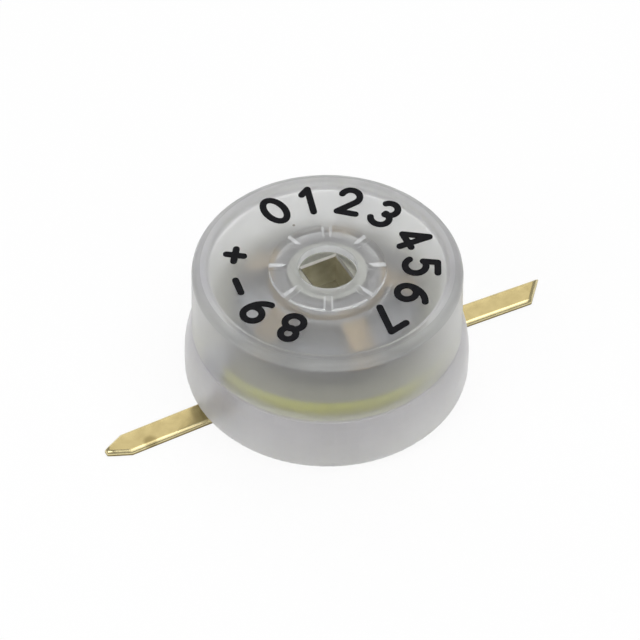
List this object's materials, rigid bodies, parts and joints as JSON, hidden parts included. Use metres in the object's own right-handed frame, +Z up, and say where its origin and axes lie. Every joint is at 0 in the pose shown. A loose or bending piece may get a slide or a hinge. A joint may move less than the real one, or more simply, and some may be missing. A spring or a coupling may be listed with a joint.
{
  "type": "trimmer capacitor",
  "caption": "Sealed round trimmer capacitor in milky plastic, with a square tool socket in a notched ring on top and flat ribbon leads on opposite sides.",
  "frame": {"origin": "centre of the housing's underside", "axes": "+Z up along the drive's axis, out of the tool opening; +X along the leads, towards the rotor's lead with the slanted end; +Y across"},
  "size_m": [0.0102, 0.0058, 0.0029],
  "materials": {
    "milky_plastic": "satin milky translucent",
    "cream_ceramic": "fired, unglazed",
    "grey_ceramic": "lapped",
    "silver_film": "fired silver",
    "nickel_plate": "nickel plated",
    "gold_plate": "gold plated, satin",
    "seal_rubber": "matte",
    "white_polymer": "smooth",
    "solder": "bright solder"
  },
  "bodies": {
    "housing": {"base_housing": "milky_plastic", "cap": "milky_plastic", "stator_disc": "cream_ceramic", "stator_electrode": "silver_film", "o_ring": "seal_rubber", "rotor_terminal": "nickel_plate", "rotor_solder": "solder", "rotor_lead": "gold_plate", "stator_lead": "gold_plate", "stator_solder": "solder"},
    "rotor": {"drive_shaft": "nickel_plate", "rotor_disc": "grey_ceramic", "rotor_electrode": "silver_film", "contact_spring": "gold_plate", "thrust_washer": "white_polymer"}
  },
  "joints": [
    {"name": "rotor_turn", "type": "hinge", "parent": "housing", "child": "rotor", "pos_m": [0, 0, 0], "axis": [0, 0, 1], "continuous": true}
  ]
}
